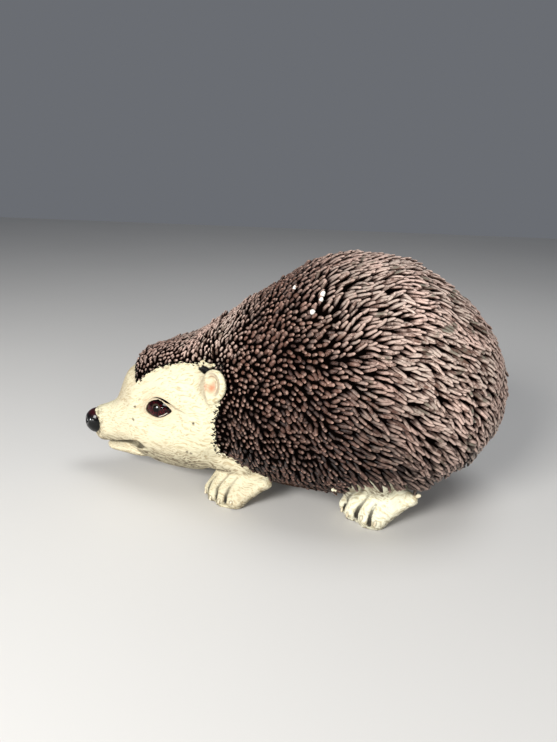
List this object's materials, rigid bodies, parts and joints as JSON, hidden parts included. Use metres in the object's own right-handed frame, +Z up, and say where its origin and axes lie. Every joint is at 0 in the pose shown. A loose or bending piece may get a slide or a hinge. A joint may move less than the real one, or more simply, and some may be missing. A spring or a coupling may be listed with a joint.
{
  "type": "hedgehog garden ornament",
  "caption": "Life-size painted resin hedgehog ornament standing on four paws, with a coat of cast quills and a smooth cream face.",
  "frame": {"origin": "on the floor under the middle of the bounding box", "axes": "-Y towards the nose, +X towards the animal's left side, +Z up"},
  "size_m": [0.1408, 0.2811, 0.1599],
  "materials": {
    "quills_brown": "painted cast resin, satin",
    "face_cream": "painted cast resin, satin",
    "underside_umber": "painted cast resin, matt",
    "eye_garnet": "glossy lacquer",
    "nose_black": "glossy lacquer"
  },
  "bodies": {
    "root": {"trunk": "quills_brown", "crown": "quills_brown", "head": "face_cream", "lower_jaw": "face_cream", "ear_left": "face_cream", "ear_right": "face_cream", "paw_front_left": "face_cream", "paw_front_right": "face_cream", "paw_hind_left": "face_cream", "paw_hind_right": "face_cream", "belly": "underside_umber", "eye_left": "eye_garnet", "eye_right": "eye_garnet", "nose": "nose_black"}
  },
  "joints": []
}
